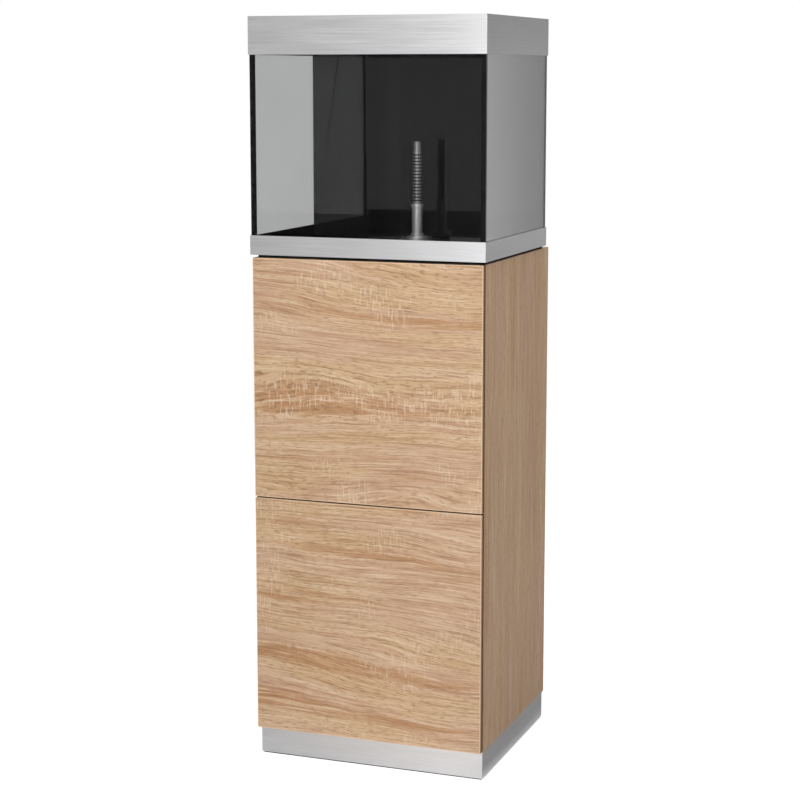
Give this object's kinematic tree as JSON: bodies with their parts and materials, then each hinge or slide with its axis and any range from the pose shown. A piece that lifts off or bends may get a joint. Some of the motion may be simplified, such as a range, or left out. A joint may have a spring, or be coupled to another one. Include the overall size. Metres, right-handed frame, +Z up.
{
  "type": "aquarium on stand",
  "caption": "Glass aquarium with a brushed metal hood and foot trim, black pipe shaft and intake pipe, on a tall wooden cabinet with handle-less doors and a metal plinth.",
  "frame": {"origin": "on the floor, under the centre of the object's overall box", "axes": "+Z up, -Y towards the doors, +X to the right of someone facing the doors"},
  "size_m": [0.51, 0.462, 1.56],
  "materials": {
    "oak": "satin",
    "back_board": "matte",
    "brushed_aluminium": "brushed",
    "led_aluminium": "satin",
    "clear_glass": "gloss",
    "black_glass": "gloss",
    "silicone": "satin",
    "foam": "matte",
    "floor_seal": "matte",
    "black_plastic": "satin",
    "grey_plastic": "satin",
    "steel": "satin",
    "lens": "gloss"
  },
  "bodies": {
    "cabinet": {"side_panel_left": "oak", "side_panel_right": "oak", "top_panel": "oak", "middle_panel": "oak", "bottom_panel": "oak", "shelf": "oak", "back_panel": "back_board", "bottom_trim": "brushed_aluminium", "plinth_front": "brushed_aluminium", "plinth_back": "brushed_aluminium", "plinth_left": "brushed_aluminium", "plinth_right": "brushed_aluminium", "floor_glass": "clear_glass", "front_glass": "clear_glass", "left_glass": "clear_glass", "right_glass": "clear_glass", "back_glass": "black_glass", "shaft_front_glass": "black_glass", "shaft_side_glass": "black_glass", "silicone_seams": "silicone", "bulkhead_gaskets": "silicone", "tank_mat": "foam", "floor_seals": "floor_seal", "intake_bulkhead": "grey_plastic", "intake_collar": "grey_plastic", "intake_strainer": "grey_plastic", "return_bulkhead": "grey_plastic", "return_riser": "grey_plastic", "return_elbow": "grey_plastic", "bulkhead_locknuts": "grey_plastic", "latch_housings": "grey_plastic", "back_screws": "steel", "shelf_pins": "steel", "hinge_plates": "steel", "hinge_arms": "steel", "hinge_screws": "steel"},
    "upper_door": {"upper_door": "oak", "upper_hinge_cups": "steel", "upper_hinge_pins": "steel", "upper_strike_plate": "steel"},
    "lower_door": {"lower_door": "oak", "lower_hinge_cups": "steel", "lower_hinge_pins": "steel", "lower_strike_plate": "steel"},
    "upper_plunger": {"upper_latch_plunger": "black_plastic"},
    "lower_plunger": {"lower_latch_plunger": "black_plastic"},
    "hood": {"hood_frame": "brushed_aluminium", "hood_liner": "black_plastic", "hood_rear_cover": "black_plastic", "hinge_blocks": "black_plastic", "lid_pins": "steel", "led_bar": "led_aluminium", "led_lens": "lens", "led_end_caps": "black_plastic"},
    "lid": {"service_lid": "brushed_aluminium", "lid_grip": "black_plastic", "feed_flap_pin": "steel"},
    "feed_flap": {"feed_flap": "black_plastic"}
  },
  "joints": [
    {"name": "upper_door_hinge", "type": "hinge", "parent": "cabinet", "child": "upper_door", "pos_m": [-0.2425, -0.225, 0.819], "axis": [0, 0, -1], "range_deg": [0, 100]},
    {"name": "lower_door_hinge", "type": "hinge", "parent": "cabinet", "child": "lower_door", "pos_m": [-0.2425, -0.225, 0.314], "axis": [0, 0, -1], "range_deg": [0, 100]},
    {"name": "upper_latch_push", "type": "slide", "parent": "cabinet", "child": "upper_plunger", "axis": [0, -1, 0], "range_m": [0, 0.014]},
    {"name": "lower_latch_push", "type": "slide", "parent": "cabinet", "child": "lower_plunger", "axis": [0, -1, 0], "range_m": [0, 0.014]},
    {"name": "hood_lift", "type": "slide", "parent": "cabinet", "child": "hood", "axis": [0, 0, 1], "range_m": [0, 0.1]},
    {"name": "lid_hinge", "type": "hinge", "parent": "hood", "child": "lid", "pos_m": [0, 0.041, 1.554], "axis": [-1, 0, 0], "range_deg": [0, 95]},
    {"name": "feed_flap_hinge", "type": "hinge", "parent": "lid", "child": "feed_flap", "pos_m": [0.13, -0.127, 1.554], "axis": [-1, 0, 0], "range_deg": [0, 100]}
  ],
  "couplings": [
    {"joint": "upper_latch_push", "follows": "upper_door_hinge", "m_per_rad": 0.008021},
    {"joint": "lower_latch_push", "follows": "lower_door_hinge", "m_per_rad": 0.008021}
  ]
}
